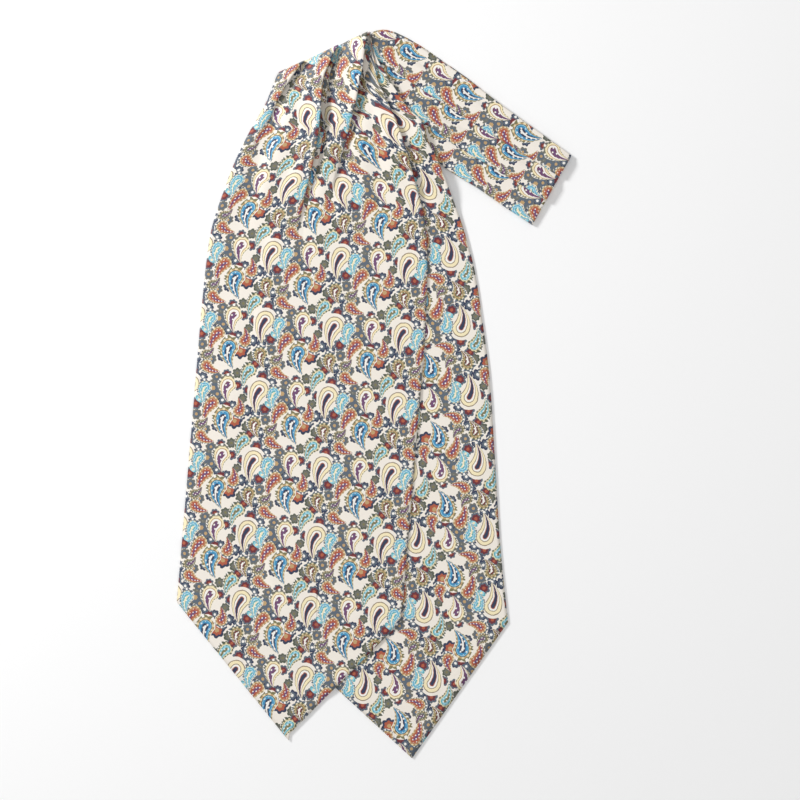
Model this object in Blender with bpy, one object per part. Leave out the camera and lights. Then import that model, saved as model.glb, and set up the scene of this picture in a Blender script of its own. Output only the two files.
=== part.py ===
"""Silk cravat laid flat: two broad pointed blades and a pleated neck band folded in half.

Metres, +Z up. The cloth rests on the plane z = 0. +X runs towards the folded end of the
neck band, +Y from the blade points to the folded top edge. Sizes below are millimetres.
"""
import math

import bmesh
import bpy
import numpy as np

MM = 0.001

# ---------------------------------------------------------------- driving sizes (mm)
BLADE_WIDTH = 157.5
WALL = 1.2
LAYER_GAP = 0.3
SEAT = WALL + LAYER_GAP
RIM_ROUND = 1.0
RIM_DROP = 0.35

FRONT_LEAN_DEG = -4.85
FRONT_POINT_DROP = 87.7
FRONT_POINT_SHARE = 0.534
FRONT_STRAIGHT_TOP = (-120.5, 52.0)
FRONT_LEFT_CORNER = (-137.2, -146.0)
FRONT_LOWER_ROWS = 15
PLEAT_STEP = 1.4
PLEAT_SHARES_HIGH = (0.110, 0.400, 0.515)
PLEAT_SHARES_HEM = (0.150, FRONT_POINT_SHARE, 0.640)

REAR_POINT_DROP = 89.5
REAR_POINT_SHARE = 0.526

BAND_LAP = 8.5
LAP_SLOPE_START = 11.5
LAP_SLOPE_END = 17.0
LAP_SHARE_START = 0.62
LAP_SHARE_END = 0.85
BAND_ROWS = 15
FOLD_BACK = 2.4
FOLD_STEP = 0.25

REAR_OVER_BAND = 2.0 * SEAT
NEAR_MARGIN = 5.0
NEAR_RAMP = 24.0
FAR_MARGIN = 10.0
FAR_RAMP = 27.0
REAR_MARGIN = 8.0
REAR_RAMP = 20.0

# Plan point, in the sizes below, that stands over the origin.
ORIGIN_X = 0.717
ORIGIN_Y = -0.292

# Front blade, sections from the folded top edge down: the outer edges, the three pleat
# folds a, b and c, and how high each fold stands over the cloth beside it.
FRONT_COLUMNS = ("left_x", "left_y", "a_x", "a_y", "b_x", "b_y", "c_x", "c_y",
                 "right_x", "right_y", "rise_a", "rise_b", "rise_c")
FRONT_SECTIONS = (
    (-65.8, 224.4, -48.3, 232.1, -25.0, 242.7, -4.3, 251.6, -2.1, 252.4, 1.0, 1.8, 1.4),
    (-68.4, 219.0, -54.5, 224.5, -30.8, 230.2, -5.9, 241.9, -0.7, 242.6, 1.0, 2.1, 1.7),
    (-71.0, 211.8, -61.5, 214.0, -34.8, 220.4, -7.5, 228.0, 1.4, 231.4, 0.9, 2.4, 1.9),
    (-74.6, 203.2, -67.0, 205.0, -36.2, 208.0, -10.0, 215.5, 2.8, 219.5, 0.6, 2.5, 2.0),
    (-80.5, 192.9, -72.0, 194.0, -37.2, 194.0, -13.0, 200.5, 9.1, 205.5, 0.3, 2.6, 1.9),
    (-87.5, 180.8, -77.5, 181.0, -39.0, 178.5, -17.0, 186.0, 15.4, 191.5, 0.0, 2.4, 1.5),
    (-96.0, 163.2, -85.0, 162.8, -42.9, 158.5, -22.5, 165.0, 22.4, 172.6, 0.0, 1.5, 0.8),
    (-104.6, 141.0, -91.5, 140.5, -48.5, 137.0, -29.0, 141.5, 30.2, 144.5, 0.0, 0.6, 0.3),
    (-112.7, 115.9, -98.0, 115.0, -53.0, 111.0, -34.0, 112.0, 36.6, 119.0, 0.0, 0.0, 0.0),
    (-117.0, 87.9, -101.0, 87.0, -56.0, 82.5, -37.0, 81.5, 38.0, 84.0, 0.0, 0.0, 0.0),
)

# Rear blade, sections from the top down: the outer edges and the drop of the pointed row.
REAR_COLUMNS = ("left_x", "left_y", "right_x", "right_y", "drop")
REAR_SECTIONS = (
    (-15.0, 229.0, 0.0, 240.5, 0.0),
    (-19.0, 221.5, 3.5, 232.0, 0.0),
    (-23.5, 211.5, 8.5, 223.5, 0.0),
    (-28.5, 201.0, 16.0, 211.5, 0.0),
    (-34.0, 190.0, 24.5, 199.0, 0.0),
    (-38.5, 180.0, 34.5, 189.0, 0.0),
    (-43.0, 170.0, 37.5, 176.5, 0.0),
    (-47.5, 160.0, 44.1, 164.9, 0.0),
    (-52.5, 146.5, 49.0, 153.0, 0.0),
    (-57.5, 133.0, 55.3, 136.9, 0.0),
    (-64.5, 113.0, 63.0, 115.9, 0.0),
    (-71.0, 84.0, 70.7, 87.9, 0.0),
    (-75.0, 47.0, 76.3, 52.9, 6.0),
    (-76.0, 5.0, 81.6, 10.0, 20.0),
    (-73.6, -56.0, 85.3, -46.0, 43.0),
    (-69.2, -118.0, 89.0, -106.0, 70.0),
    (-62.3, -172.6, 94.5, -160.0, REAR_POINT_DROP),
)

# Neck band: the free edges of the three strips, from the folded end to the gathered end.
BAND_TOP_EDGE = ((138.6, 166.3), (92.5, 199.6), (65.0, 220.4), (45.0, 234.2), (35.0, 240.9),
                 (24.0, 247.4), (15.5, 251.2), (8.5, 253.0), (3.0, 252.6), (-1.2, 251.2))
STRIP_FOLD_UPPER = ((130.2, 151.6), (112.0, 163.0), (73.0, 187.0), (52.0, 201.0),
                    (28.5, 216.0), (21.0, 221.5), (11.0, 228.0), (-1.2, 236.0))
STRIP_FOLD_LOWER = ((120.8, 134.8), (97.5, 149.5), (75.0, 163.0), (54.0, 175.5),
                    (41.0, 186.0), (30.0, 191.0), (17.0, 197.5))
BAND_LOW_EDGE = ((111.3, 118.0), (93.0, 130.0), (73.0, 144.0), (61.0, 151.0),
                 (49.5, 158.5), (41.0, 167.5))
MIDDLE_TUCK_END = (-0.5, 236.0)
LOWER_TUCK_END = (23.0, 201.0)

# Under layer of the band, face down: its outline, anticlockwise from the shoulder.
UNDER_OUTLINE = (
    (-61.0, 218.6), (-12.5, 191.0), (38.0, 164.0), (44.8, 166.2), (50.3, 159.4),
    (62.0, 152.0), (73.6, 145.0), (93.4, 131.2), (109.0, 121.0), (134.2, 165.8),
    (92.5, 199.4), (65.5, 221.0), (45.0, 235.2), (35.0, 242.2), (24.0, 248.7),
    (15.5, 252.7), (8.5, 254.6), (3.0, 254.0), (-1.1, 252.6), (-1.1, 247.8),
    (-6.5, 246.1), (-26.0, 237.4), (-61.0, 221.6),
)


# ---------------------------------------------------------------- curves and heights
def unit(vector):
    """The vector at length one."""
    return vector / np.linalg.norm(vector)


def smooth_step(value):
    """Zero below 0, one above 1, soft between."""
    share = np.clip(value, 0.0, 1.0)
    return share * share * (3.0 - 2.0 * share)


def through(stations, positions, at):
    """Smooth curve through rows of values given at the station positions."""
    stations = np.asarray(stations, dtype=float)
    slopes = np.gradient(stations, positions, axis=0)
    index = np.clip(np.searchsorted(positions, at, side="right") - 1, 0, len(positions) - 2)
    span = positions[index + 1] - positions[index]
    share = ((at - positions[index]) / span)[:, None]
    span = span[:, None]
    start = (2.0 * share**3 - 3.0 * share**2 + 1.0) * stations[index]
    start_slope = (share**3 - 2.0 * share**2 + share) * span * slopes[index]
    end = (3.0 * share**2 - 2.0 * share**3) * stations[index + 1]
    end_slope = (share**3 - share**2) * span * slopes[index + 1]
    return start + start_slope + end + end_slope


def along(points, count_or_distances):
    """Points of an open polyline at even shares, or at given distances, of its length."""
    points = np.asarray(points, dtype=float)
    steps = np.linalg.norm(np.diff(points, axis=0), axis=1)
    travelled = np.concatenate(([0.0], np.cumsum(steps)))
    if isinstance(count_or_distances, int):
        wanted = np.linspace(0.0, travelled[-1], count_or_distances)
    else:
        wanted = np.asarray(count_or_distances) * travelled[-1]
    return np.stack([np.interp(wanted, travelled, points[:, axis]) for axis in (0, 1)], axis=1)


def outside_distance(points, outline):
    """Distance of each point from a closed outline, zero inside it."""
    start = np.asarray(outline, dtype=float)
    end = np.roll(start, -1, axis=0)
    edge = end - start
    offset = points[:, None, :] - start[None, :, :]
    share = np.clip((offset * edge).sum(axis=2) / (edge * edge).sum(axis=1), 0.0, 1.0)
    gap = np.linalg.norm(offset - share[:, :, None] * edge, axis=2).min(axis=1)
    above = start[None, :, 1] > points[:, None, 1]
    above_end = end[None, :, 1] > points[:, None, 1]
    rise = np.where(np.abs(edge[:, 1]) < 1e-9, 1e-9, edge[:, 1])
    cross = start[:, 0] + (points[:, None, 1] - start[:, 1]) * edge[:, 0] / rise
    crossings = ((above != above_end) & (points[:, None, 0] < cross)).sum(axis=1)
    return np.where(crossings % 2 == 1, 0.0, gap)


def lift_over(points, outline, height, margin, ramp):
    """Height the cloth is raised by a layer under it, easing off beyond its outline."""
    away = outside_distance(points, outline)
    return height * smooth_step((margin + ramp - away) / ramp)


# ---------------------------------------------------------------- layouts of the pieces
def front_layout():
    """Guide points and pleat rises of every section of the front blade, top edge first."""
    upper = np.array(FRONT_SECTIONS)
    across = np.array((math.cos(math.radians(FRONT_LEAN_DEG)),
                       math.sin(math.radians(FRONT_LEAN_DEG))))
    down = np.array((across[1], -across[0]))
    first = np.array(FRONT_STRAIGHT_TOP)
    last = np.array(FRONT_LEFT_CORNER)
    lower = []
    for share in np.linspace(0.0, 1.0, FRONT_LOWER_ROWS):
        left = first + share * (last - first)
        row = list(left)
        shares = [high + share * (hem - high)
                  for high, hem in zip(PLEAT_SHARES_HIGH, PLEAT_SHARES_HEM)]
        for across_share in shares + [1.0]:
            fall = min(across_share / FRONT_POINT_SHARE,
                       (1.0 - across_share) / (1.0 - FRONT_POINT_SHARE))
            point = left + across_share * BLADE_WIDTH * across
            row.extend(point + share * FRONT_POINT_DROP * fall * down)
        lower.append(row + [0.0, 0.0, 0.0])
    upper_positions = np.arange(len(upper), dtype=float)
    lower_positions = len(upper) + np.arange(FRONT_LOWER_ROWS, dtype=float)
    stations = np.concatenate((upper, np.array(lower)))
    positions = np.concatenate((upper_positions, lower_positions))
    near_fold = (0.0, 0.12, 0.30, 0.33)
    halves = np.arange(0.5, len(upper) + 0.5, 0.5)
    at = np.concatenate((near_fold, halves, lower_positions))
    return through(stations, positions, np.unique(at)), np.unique(at)


def front_columns(row):
    """Plan points across one section of the front blade and the pleat rise at each."""
    left, fold_a, fold_b, fold_c, right = row[:10].reshape(5, 2)
    rises = row[10:]
    spans = ((left, fold_a, 3, rises[0]), (fold_a, fold_b, 7, rises[1]),
             (fold_b, fold_c, 4, rises[2]), (fold_c, right, 8, 0.0))
    points = []
    heights = []
    for number, (start, end, count, rise) in enumerate(spans):
        length = np.linalg.norm(end - start)
        foot = min(PLEAT_STEP, 0.4 * length) if number else 0.0
        begin = start + foot * unit(end - start)
        shares = list(np.linspace(0.0, 1.0, count + 1))
        if number == 0:
            shares.insert(1, RIM_ROUND / length)
        if number == len(spans) - 1:
            shares.insert(-1, max(1.0 - RIM_ROUND / length, 0.95))
        for share in shares:
            points.append(begin + share * (end - begin))
            heights.append(rise * share**1.6)
    return np.array(points), np.array(heights)


def rear_layout():
    """Plan points of the rear blade, section by section."""
    table = np.array(REAR_SECTIONS)
    positions = np.arange(len(table), dtype=float)
    at = np.unique(np.concatenate((np.arange(0.0, len(table) - 5, 1.0),
                                   np.arange(len(table) - 5, len(table) - 0.9, 0.25))))
    grid = []
    shares = np.concatenate(((0.0,), np.linspace(0.0, REAR_POINT_SHARE, 8)[1:],
                             np.linspace(REAR_POINT_SHARE, 1.0, 7)[1:]))
    for left_x, left_y, right_x, right_y, drop in through(table, positions, at):
        left = np.array((left_x, left_y))
        right = np.array((right_x, right_y))
        across = unit(right - left)
        down = np.array((across[1], -across[0]))
        rim = RIM_ROUND / np.linalg.norm(right - left)
        row_shares = np.sort(np.concatenate((shares, (rim, 1.0 - rim))))
        fall = np.minimum(row_shares / REAR_POINT_SHARE,
                          (1.0 - row_shares) / (1.0 - REAR_POINT_SHARE))
        grid.append(left + row_shares[:, None] * (right - left)
                    + (drop * fall)[:, None] * down)
    return np.array(grid)


def strip_layout(low_edge, high_edge, lapped):
    """Plan points and underside heights of one strip of the band, folded end first."""
    low = along(low_edge, BAND_ROWS + 1)
    high = along(high_edge, BAND_ROWS + 1)
    fold_rows = (FOLD_BACK / 2.0, FOLD_BACK, FOLD_BACK + FOLD_STEP)
    first_low = [low[0] + unit(low[1] - low[0]) * distance for distance in fold_rows]
    first_high = [high[0] + unit(high[1] - high[0]) * distance for distance in fold_rows]
    low = np.concatenate((low[:1], first_low, low[1:]))
    high = np.concatenate((high[:1], first_high, high[1:]))
    grid = []
    seats = []
    tops = []
    for number, (start, end) in enumerate(zip(low, high)):
        width = np.linalg.norm(end - start)
        slope_start = min(LAP_SLOPE_START, LAP_SHARE_START * width)
        slope_end = min(LAP_SLOPE_END, LAP_SHARE_END * width)
        mids = (slope_start, (slope_start + slope_end) / 2.0, slope_end)
        offsets = np.array((0.0, RIM_ROUND, slope_start / 2.0) + mids
                           + (width - RIM_ROUND, width))
        grid.append(start + offsets[:, None] * unit(end - start))
        lap = smooth_step((slope_end - offsets) / (slope_end - slope_start))
        lap = lap if lapped else np.zeros(len(offsets))
        floor = 0.0 if number < 3 else SEAT
        seats.append(floor + (2.0 * SEAT - floor) * lap)
        tops.append(SEAT + SEAT * lap + WALL)
    return np.array(grid), np.array(seats), np.array(tops)


# ---------------------------------------------------------------- solids
def placed(plan_x, plan_y, height):
    """A point in metres about the origin, from plan sizes in millimetres."""
    return ((plan_x - ORIGIN_X) * MM, (plan_y - ORIGIN_Y) * MM, height * MM)


def material(name, colour):
    """Plain cloth material of one piece."""
    made = bpy.data.materials.new(name)
    made.use_nodes = True
    shader = made.node_tree.nodes["Principled BSDF"]
    shader.inputs["Base Color"].default_value = (*colour, 1.0)
    shader.inputs["Roughness"].default_value = 0.55
    shader.inputs["Sheen Weight"].default_value = 0.3
    made.diffuse_color = (*colour, 1.0)
    return made


def cloth_solid(name, plan, under, over, colour, collection):
    """Closed body between an underside and a top given over one grid of plan points."""
    rows, columns = plan.shape[:2]
    body = bmesh.new()

    def layer(heights):
        return [[body.verts.new(placed(plan[r, c, 0], plan[r, c, 1], heights[r, c]))
                 for c in range(columns)] for r in range(rows)]

    low = layer(under)
    high = layer(over)
    for r in range(rows - 1):
        for c in range(columns - 1):
            body.faces.new((high[r][c], high[r + 1][c], high[r + 1][c + 1], high[r][c + 1]))
            body.faces.new((low[r][c], low[r][c + 1], low[r + 1][c + 1], low[r + 1][c]))
    border = [(r, 0) for r in range(rows)]
    border += [(rows - 1, c) for c in range(1, columns)]
    border += [(r, columns - 1) for r in range(rows - 2, -1, -1)]
    border += [(0, c) for c in range(columns - 2, 0, -1)]
    for (r, c), (next_r, next_c) in zip(border, border[1:] + border[:1]):
        body.faces.new((low[r][c], low[next_r][next_c], high[next_r][next_c], high[r][c]))
    bmesh.ops.triangulate(body, faces=body.faces[:])
    bmesh.ops.recalc_face_normals(body, faces=body.faces[:])
    mesh = bpy.data.meshes.new(name)
    body.to_mesh(mesh)
    body.free()
    mesh.materials.append(material(name + "_silk", colour))
    made = bpy.data.objects.new(name, mesh)
    collection.objects.link(made)
    return made


def plate(name, outline, height, colour, collection):
    """Flat body of one outline, from the table up."""
    body = bmesh.new()
    corners = [body.verts.new(placed(x, y, 0.0)) for x, y in outline]
    face = body.faces.new(corners)
    raised = bmesh.ops.extrude_face_region(body, geom=[face])
    moved = [item for item in raised["geom"] if isinstance(item, bmesh.types.BMVert)]
    bmesh.ops.translate(body, verts=moved, vec=(0.0, 0.0, height * MM))
    bmesh.ops.triangulate(body, faces=body.faces[:])
    bmesh.ops.recalc_face_normals(body, faces=body.faces[:])
    mesh = bpy.data.meshes.new(name)
    body.to_mesh(mesh)
    body.free()
    mesh.materials.append(material(name + "_silk", colour))
    made = bpy.data.objects.new(name, mesh)
    collection.objects.link(made)
    return made


def soften_rim(over, sides=(True, True, True, True)):
    """Lower the top along the chosen rims: first row, last row, first and last column."""
    lowered = over.copy()
    if sides[0]:
        lowered[0] -= RIM_DROP
    if sides[1]:
        lowered[-1] -= RIM_DROP
    if sides[2]:
        lowered[:, 0] -= RIM_DROP
    if sides[3]:
        lowered[:, -1] -= RIM_DROP
    return lowered


def build_front(collection, rear_outline, strips_outline):
    """Front blade: on the table at its left, over every other layer at its right."""
    rows, at = front_layout()
    plan = []
    rises = []
    for row in rows:
        points, heights = front_columns(row)
        plan.append(points)
        rises.append(heights)
    plan = np.array(plan)
    flat = plan.reshape(-1, 2)
    under = lift_over(flat, UNDER_OUTLINE, SEAT, FAR_MARGIN, FAR_RAMP)
    under += lift_over(flat, rear_outline, SEAT, REAR_MARGIN, REAR_RAMP)
    under += lift_over(flat, strips_outline, REAR_OVER_BAND, FAR_MARGIN, FAR_RAMP)
    under = under.reshape(plan.shape[:2])
    over = soften_rim(under + WALL + np.array(rises), (True, True, True, True))
    over[0] -= RIM_DROP
    under[at < 0.31] = 0.0
    return cloth_solid("front_blade", plan, under, over, (0.74, 0.70, 0.64), collection)


def build_rear(collection, plan, strips_outline):
    """Rear blade: on the table, rising over the under layer and the strips' tucked ends."""
    flat = plan.reshape(-1, 2)
    under = lift_over(flat, UNDER_OUTLINE, SEAT, NEAR_MARGIN, NEAR_RAMP)
    under += lift_over(flat, strips_outline, REAR_OVER_BAND, NEAR_MARGIN, NEAR_RAMP)
    under = under.reshape(plan.shape[:2])
    over = soften_rim(under + WALL)
    return cloth_solid("rear_blade", plan, under, over, (0.66, 0.62, 0.56), collection)


def shifted_edge(edge, distance, end):
    """A strip's hidden upper edge: its visible edge moved up by the lap, ending at end."""
    points = np.array(edge[:-1])
    direction = unit(np.array(BAND_TOP_EDGE[0]) - np.array(BAND_LOW_EDGE[0]))
    return np.concatenate((points + distance * direction, (end,)))


def main():
    """Build the six pieces."""
    for old in list(bpy.data.objects):
        bpy.data.objects.remove(old, do_unlink=True)
    collection = bpy.data.collections.new("silk_cravat")
    bpy.context.scene.collection.children.link(collection)

    middle_hidden = shifted_edge(STRIP_FOLD_UPPER, BAND_LAP, MIDDLE_TUCK_END)
    lower_hidden = shifted_edge(STRIP_FOLD_LOWER, BAND_LAP, LOWER_TUCK_END)
    strips = (
        ("band_top_strip", STRIP_FOLD_UPPER, BAND_TOP_EDGE, True, (0.76, 0.72, 0.66)),
        ("band_middle_strip", STRIP_FOLD_LOWER, middle_hidden, True, (0.70, 0.66, 0.60)),
        ("band_lower_strip", BAND_LOW_EDGE, lower_hidden, False, (0.64, 0.60, 0.55)),
    )
    for name, low_edge, high_edge, lapped, colour in strips:
        plan, under, over = strip_layout(low_edge, high_edge, lapped)
        over = soften_rim(over)
        cloth_solid(name, plan, under, over, colour, collection)

    gathered_ends = (STRIP_FOLD_UPPER[-1], STRIP_FOLD_LOWER[-1], BAND_LOW_EDGE[-1])
    strips_outline = np.array(BAND_LOW_EDGE + gathered_ends[1::-1] + BAND_TOP_EDGE[::-1])
    rear_plan = rear_layout()
    rear_outline = np.concatenate((rear_plan[:, 0], rear_plan[-1, 1:-1],
                                   rear_plan[::-1, -1], rear_plan[0, -2:0:-1]))
    plate("band_under", UNDER_OUTLINE, WALL, (0.80, 0.77, 0.72), collection)
    build_rear(collection, rear_plan, strips_outline)
    build_front(collection, rear_outline, strips_outline)


main()
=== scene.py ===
"""Silk cravat laid flat on a pale table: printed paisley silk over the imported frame.

Plan sizes are millimetres, turned to metres about the frame's origin by placed().
"""
import math
from collections import namedtuple
import bmesh
import bpy
import numpy as np
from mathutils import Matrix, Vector


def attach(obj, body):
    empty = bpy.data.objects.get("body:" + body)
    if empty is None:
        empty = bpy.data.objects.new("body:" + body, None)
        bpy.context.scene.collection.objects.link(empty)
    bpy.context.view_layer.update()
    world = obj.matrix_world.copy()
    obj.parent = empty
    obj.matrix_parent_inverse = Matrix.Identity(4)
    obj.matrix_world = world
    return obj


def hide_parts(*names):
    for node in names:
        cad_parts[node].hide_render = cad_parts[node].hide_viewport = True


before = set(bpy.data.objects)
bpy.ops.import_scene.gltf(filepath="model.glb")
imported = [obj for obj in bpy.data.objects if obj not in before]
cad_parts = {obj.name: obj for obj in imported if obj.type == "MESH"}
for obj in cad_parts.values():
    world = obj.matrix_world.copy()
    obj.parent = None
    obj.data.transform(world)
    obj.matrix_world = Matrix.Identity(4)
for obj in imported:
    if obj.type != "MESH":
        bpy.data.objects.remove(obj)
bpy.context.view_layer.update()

MM = 0.001
# The frame's origin in the plan's millimetres, as in the CAD.
ORIGIN_X = 0.717
ORIGIN_Y = -0.292

# ---------------------------------------------------------------- sizes (mm)
BLADE_WIDTH = 157.5
SHELL = 0.5                     # thickness of each cloth shell
LAYER = 1.2                     # thickness of one CAD wall
SEAT = 1.5                      # a wall and its clearance
LOWEST_FACE = 0.05              # the shells' undersides never sink below this
LOWEST_MIDDLE = 0.4             # nor the blades' mid surfaces, the rolled edge apart, below this
REPEAT_ACROSS = 48.5            # the print's repeat
REPEAT_ALONG = 49.0

FRONT_LEAN_DEG = -4.85
FRONT_POINT_DROP = 87.7
FRONT_POINT_SHARE = 0.534
FRONT_STRAIGHT_TOP = (-120.5, 52.0)
FRONT_LEFT_CORNER = (-137.2, -146.0)
FRONT_LOWER_ROWS = 15
PLEAT_SHARES_HIGH = (0.110, 0.400, 0.515)
PLEAT_SHARES_HEM = (0.150, FRONT_POINT_SHARE, 0.640)

REAR_POINT_DROP = 89.5
REAR_POINT_SHARE = 0.526

# Front blade, sections from the folded top edge down. Columns: x and y of the left edge, the
# folds a, b and c, and the right edge; how high each fold stands; how much cloth each one
# hides; how far the right edge lifts.
GUIDES = slice(0, 10)
RISES = slice(10, 13)
HIDES = slice(13, 16)
LIFT = 16
FRONT_SECTIONS = (
    (-65.8, 224.4, -48.3, 232.1, -25.0, 242.7, -4.3, 251.6, -2.1, 252.4, 1.4, 2.2, 1.8, 24, 30, 24, 0.6),
    (-68.4, 219.0, -54.5, 224.5, -30.8, 230.2, -5.9, 241.9, -0.7, 242.6, 1.4, 2.6, 2.1, 22, 30, 23, 1.0),
    (-71.0, 211.8, -61.5, 214.0, -34.8, 220.4, -7.5, 228.0, 1.4, 231.4, 1.2, 2.9, 2.4, 20, 30, 21, 1.4),
    (-74.6, 203.2, -67.0, 205.0, -36.2, 208.0, -10.0, 215.5, 2.8, 219.5, 0.9, 3.1, 2.4, 14, 29, 19, 1.6),
    (-80.5, 192.9, -72.0, 194.0, -37.2, 194.0, -13.0, 200.5, 9.1, 205.5, 0.5, 3.3, 2.2, 7, 27, 14, 2.0),
    (-87.5, 180.8, -77.5, 181.0, -39.0, 178.5, -17.0, 186.0, 15.4, 191.5, 0.1, 3.2, 1.6, 1, 24, 8, 2.4),
    (-96.0, 163.2, -85.0, 162.8, -42.9, 158.5, -22.5, 165.0, 22.4, 172.6, 0.0, 2.4, 0.8, 0, 17, 3, 2.4),
    (-104.6, 141.0, -91.5, 140.5, -48.5, 137.0, -29.0, 141.5, 30.2, 144.5, 0.0, 1.0, 0.3, 0, 6, 0, 1.8),
    (-112.7, 115.9, -98.0, 115.0, -53.0, 111.0, -34.0, 112.0, 36.6, 119.0, 0.0, 0.2, 0.0, 0, 0, 0, 0.9),
    (-117.0, 87.9, -101.0, 87.0, -56.0, 82.5, -37.0, 81.5, 38.0, 84.0, 0.0, 0.0, 0.0, 0, 0, 0, 0.3),
)

# Rear blade, sections from the top down. Columns: x and y of the left edge, x and y of the
# right edge, and the drop of the pointed row.
REAR_SECTIONS = (
    (-15.0, 229.0, 0.0, 240.5, 0.0),
    (-19.0, 221.5, 3.5, 232.0, 0.0),
    (-23.5, 211.5, 8.5, 223.5, 0.0),
    (-28.5, 201.0, 16.0, 211.5, 0.0),
    (-34.0, 190.0, 24.5, 199.0, 0.0),
    (-38.5, 180.0, 34.5, 189.0, 0.0),
    (-43.0, 170.0, 37.5, 176.5, 0.0),
    (-47.5, 160.0, 44.1, 164.9, 0.0),
    (-52.5, 146.5, 49.0, 153.0, 0.0),
    (-57.5, 133.0, 55.3, 136.9, 0.0),
    (-64.5, 113.0, 63.0, 115.9, 0.0),
    (-71.0, 84.0, 70.7, 87.9, 0.0),
    (-75.0, 47.0, 76.3, 52.9, 6.0),
    (-76.0, 5.0, 81.6, 10.0, 20.0),
    (-73.6, -56.0, 85.3, -46.0, 43.0),
    (-69.2, -118.0, 89.0, -106.0, 70.0),
    (-62.3, -172.6, 94.5, -160.0, REAR_POINT_DROP),
)

# The band: its top edge, the folds of its upper two strips, and its lower edge.
BAND_TOP_EDGE = ((138.6, 166.3), (92.5, 199.6), (65.0, 220.4), (45.0, 234.2), (35.0, 240.9),
                 (24.0, 247.4), (15.5, 251.2), (8.5, 253.0), (3.0, 252.6), (-1.2, 251.2))
STRIP_FOLD_UPPER = ((130.2, 151.6), (112.0, 163.0), (73.0, 187.0), (52.0, 201.0),
                    (28.5, 216.0), (21.0, 221.5), (11.0, 228.0), (-1.2, 236.0))
STRIP_FOLD_LOWER = ((120.8, 134.8), (97.5, 149.5), (75.0, 163.0), (54.0, 175.5),
                    (41.0, 186.0), (30.0, 191.0), (17.0, 197.5))
BAND_LOW_EDGE = ((111.3, 118.0), (93.0, 130.0), (73.0, 144.0), (61.0, 151.0),
                 (49.5, 158.5), (41.0, 167.5))
MIDDLE_TUCK_END = (-0.5, 236.0)
LOWER_TUCK_END = (23.0, 201.0)
BAND_LAP = 8.5

# The band's under layer: its first ten points are its lower edge up to the band's far corner,
# the rest its upper edge.
UNDER_OUTLINE = (
    (-61.0, 218.6), (-12.5, 191.0), (38.0, 164.0), (44.8, 166.2), (50.3, 159.4),
    (62.0, 152.0), (73.6, 145.0), (93.4, 131.2), (109.0, 121.0), (134.2, 165.8),
    (92.5, 199.4), (65.5, 221.0), (45.0, 235.2), (35.0, 242.2), (24.0, 248.7),
    (15.5, 252.7), (8.5, 254.6), (3.0, 254.0), (-1.1, 252.6), (-1.1, 247.8),
    (-6.5, 246.1), (-26.0, 237.4), (-61.0, 221.6),
)

# Soft creases placed on the blades. Columns: start x and y, end x and y, half width,
# height (minus: trough).
FRONT_CREASES = (
    (-36.5, 196.0, -52.0, 118.0, 6.0, -0.9),
    (-31.0, 176.0, -18.0, 112.0, 5.0, 0.8),
    (-17.0, 188.0, -31.0, 120.0, 4.5, -0.8),
    (-8.0, 196.0, -4.0, 110.0, 6.0, 0.7),
    (6.0, 200.0, 20.0, 128.0, 5.0, 0.8),
    (-1.0, 205.0, 6.0, 140.0, 4.0, -0.7),
    (-58.0, 206.0, -78.0, 130.0, 6.0, 0.9),
    (-66.0, 198.0, -92.0, 120.0, 5.0, -0.7),
    (-48.0, 212.0, -62.0, 140.0, 5.0, -0.7),
    (-96.0, 60.0, -104.0, -60.0, 12.0, 0.5),
    (12.0, 60.0, 6.0, -90.0, 14.0, -0.4),
)
REAR_CREASES = (
    (30.0, 192.0, 58.0, 96.0, 4.0, 0.7),
    (40.0, 172.0, 66.0, 70.0, 4.0, -0.5),
    (70.0, 20.0, 76.0, -100.0, 8.0, 0.4),
    (-30.0, 150.0, -50.0, -20.0, 12.0, 0.4),
)

# The front blade's pleats: points across each stretch between folds, and how it swells.
STRETCH_COLUMNS = (8, 22, 14, 30)
RISE_POWER = 1.5
RIGHT_LIFT_POWER = 3
STRETCH_BOW = 0.12              # how far a stretch bows up, as a share of the highest fold
FOLD_DIP = 0.35                 # how far the next stretch sinks, as a share of a fold's rise
FOLD_DIP_REACH = 3.0            # and how soon it comes up again
FULL_TUCK = 5.0                 # a fold that hides this much is fully turned under
TUCK_CLEARANCE = 0.9
OPEN_STEP = 0.6                 # spacing of the tuck's points where a fold has run out
OPEN_STEP_SHARE = 0.12          # and its greatest share of the stretch before it
TUCK_NOSE = ((0.5, -0.35), (0.15, -0.75))                  # ahead of the fold, below it
TUCK_BACK = ((-0.5, 0.45), (-1.0, 0.22), (-0.6, 0.132))    # shares of the depth, of the height
PLEAT_RISE_GROWTH = 2.1

# Folded edges: inset from the edge and share of the height, from the table up.
FRONT_ROLL = ((1.6, 0.02), (0.5, 0.10), (0.0, 0.35), (0.0, 0.65), (0.35, 0.90))
FRONT_ROLL_BASE = 0.3
FRONT_ROLL_INSET = 1.1
FRONT_INWARD = (0.39, -0.92)
STRIP_ROLL = ((1.4, 0.02), (0.4, 0.12), (0.0, 0.4), (0.05, 0.72), (0.5, 0.94))
STRIP_ROLL_BASE = 0.4
STRIP_ROLL_INSET = 1.2
# A strip's fold: offset from its lower edge and drop below its face.
STRIP_NOSE = ((6.0, -1.0), (2.5, -0.95), (0.6, -0.8), (0.0, -0.4), (0.25, -0.08))
STRIP_ALONG = 64
STRIP_ACROSS = 24
STRIP_SINK = 0.35               # mid surface of a strip below its CAD top
STRIP_WAVE = 0.35               # unevenness of a strip's face
LAP_END = 17.0                  # from its fold, where a strip has come down off the next one
LAP_SLOPE = 5.5                 # width of the slope there

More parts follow.
